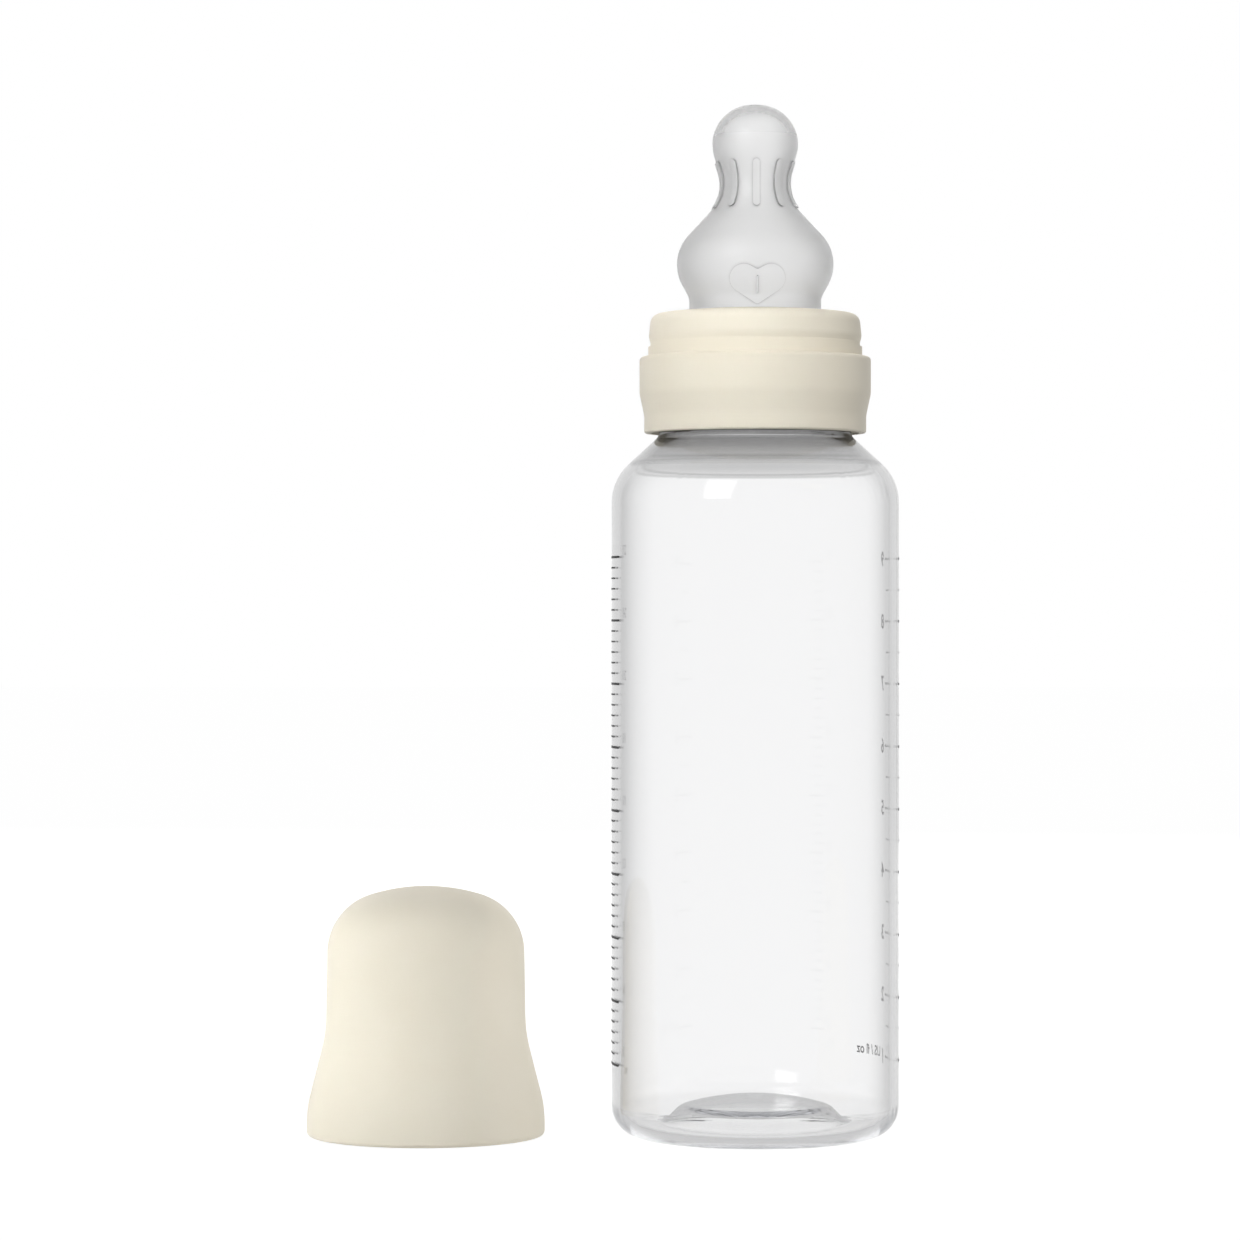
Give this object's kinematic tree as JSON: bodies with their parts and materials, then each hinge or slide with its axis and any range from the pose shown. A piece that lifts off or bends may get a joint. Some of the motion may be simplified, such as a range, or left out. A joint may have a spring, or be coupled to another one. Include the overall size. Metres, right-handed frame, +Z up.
{
  "type": "baby feeding bottle",
  "caption": "Clear cylindrical feeding bottle with a soft ball-tipped teat held by a matte screw collar, and a bell-shaped protective cap standing beside it.",
  "frame": {"origin": "middle of the bottle's foot ring, on the surface it stands on", "axes": "+Z up along the bottle's axis, -Y towards the viewer and the vent of the teat, the cap stands on the -X side"},
  "size_m": [0.1195, 0.058, 0.2082],
  "materials": {
    "clear_plastic": "clear, glossy blown plastic",
    "silicone": "translucent silicone, frosted with a glossy tip",
    "cream_plastic": "fine matte moulded plastic"
  },
  "bodies": {
    "bottle": {"bottle_body": "clear_plastic"},
    "teat": {"teat": "silicone"},
    "collar": {"screw_collar": "cream_plastic"},
    "cap": {"protective_cap": "cream_plastic"}
  },
  "joints": [
    {"name": "head_lift", "type": "slide", "parent": "bottle", "child": "teat", "axis": [0, 0, 1], "range_m": [0, 0.021]},
    {"name": "collar_turn", "type": "hinge", "parent": "teat", "child": "collar", "pos_m": [0, 0, 0.154], "axis": [0, 0, 1], "range_deg": [0, 1260]},
    {"name": "cap_lift", "type": "slide", "parent": "bottle", "child": "cap", "axis": [0, 0, 1], "range_m": [0, 0.212]}
  ],
  "couplings": [
    {"joint": "head_lift", "follows": "collar_turn", "m_per_rad": 0.00095493}
  ]
}
